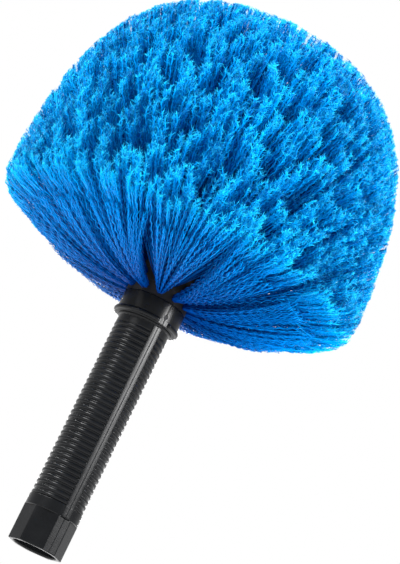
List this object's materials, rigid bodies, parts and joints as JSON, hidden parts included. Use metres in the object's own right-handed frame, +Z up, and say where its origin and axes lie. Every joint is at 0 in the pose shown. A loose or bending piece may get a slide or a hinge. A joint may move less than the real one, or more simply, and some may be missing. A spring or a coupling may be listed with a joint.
{
  "type": "cobweb brush",
  "caption": "Domed cobweb brush head: blue crimped fibres fan out of a drilled block that is pinned in the collar of a ribbed black socket, which pushes onto a pole.",
  "frame": {"origin": "centre of the pole socket's mouth", "axes": "+Z up the socket's axis to the bristles, -Y and +Y through the two smooth lands of the grip"},
  "size_m": [0.2162, 0.2162, 0.3213],
  "materials": {
    "handle_black": "satin",
    "block_black": "satin",
    "pin_steel": "satin",
    "bristle_blue": "satin",
    "anchor_wire": "satin"
  },
  "bodies": {
    "root": {"handle": "handle_black", "bristle_block": "block_black", "retaining_pin_front": "pin_steel", "retaining_pin_back": "pin_steel", "tuft_row_1": "bristle_blue", "tuft_row_2": "bristle_blue", "tuft_row_3": "bristle_blue", "tuft_row_4": "bristle_blue", "tuft_row_5": "bristle_blue", "tuft_row_6": "bristle_blue", "tuft_row_7": "bristle_blue", "tuft_anchors_1": "anchor_wire", "tuft_anchors_2": "anchor_wire", "tuft_anchors_3": "anchor_wire", "tuft_anchors_4": "anchor_wire", "tuft_anchors_5": "anchor_wire", "tuft_anchors_6": "anchor_wire", "tuft_anchors_7": "anchor_wire"}
  },
  "joints": []
}
